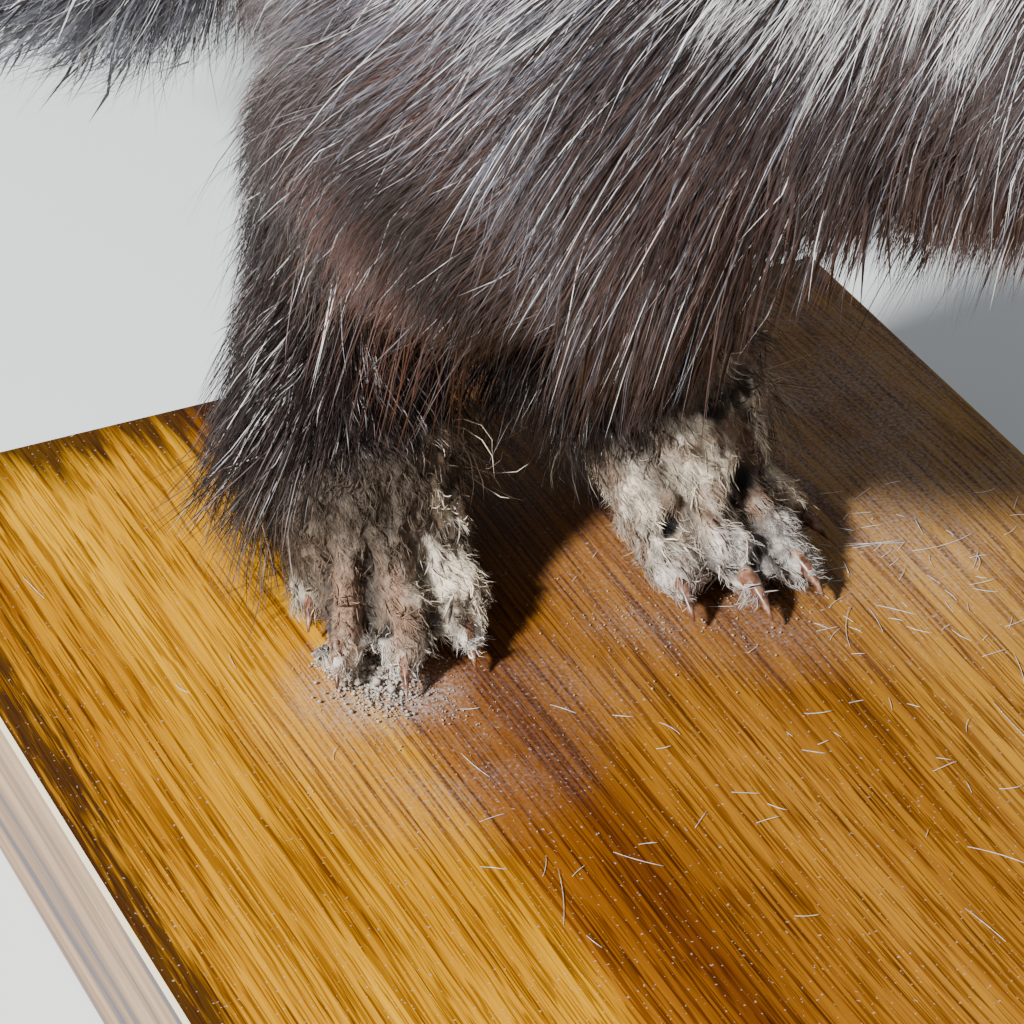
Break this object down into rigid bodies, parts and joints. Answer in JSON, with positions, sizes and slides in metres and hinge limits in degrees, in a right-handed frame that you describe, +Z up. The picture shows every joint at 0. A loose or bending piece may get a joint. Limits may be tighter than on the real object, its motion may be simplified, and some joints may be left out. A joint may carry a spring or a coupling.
{
  "type": "taxidermy silver fox on a board",
  "caption": "Life-size mounted silver fox walking on a thick varnished wooden board, with a long dark silvery coat and a full brush, a still museum mount",
  "frame": {"origin": "middle of the board's flat underside", "axes": "+X along the board's length towards the fox's head, +Y to the fox's left, +Z up"},
  "size_m": [0.9515, 0.3173, 0.61],
  "materials": {
    "varnished_wood": "gloss varnish, dusty",
    "silver_fur": "long glossy guard hair, dark with white tips",
    "dark_fur": "dense black-brown fur",
    "worn_paw_fur": "short, worn, grey-brown and cream",
    "eye_glass": "polished, opaque amber with a slit pupil",
    "nose_leather": "pebbled, half matt"
  },
  "bodies": {
    "root": {"base_board": "varnished_wood", "trunk": "silver_fur", "neck": "dark_fur", "head": "dark_fur", "ear_right": "dark_fur", "ear_left": "dark_fur", "eye_right": "eye_glass", "eye_left": "eye_glass", "nose": "nose_leather", "tail": "dark_fur", "hind_right_thigh": "silver_fur", "hind_left_thigh": "silver_fur", "hind_right_shank": "dark_fur", "hind_left_shank": "dark_fur", "hind_right_foot": "worn_paw_fur", "hind_left_foot": "worn_paw_fur", "fore_right_leg": "dark_fur", "fore_left_leg": "dark_fur", "fore_right_foot": "dark_fur", "fore_left_foot": "dark_fur"}
  },
  "joints": []
}
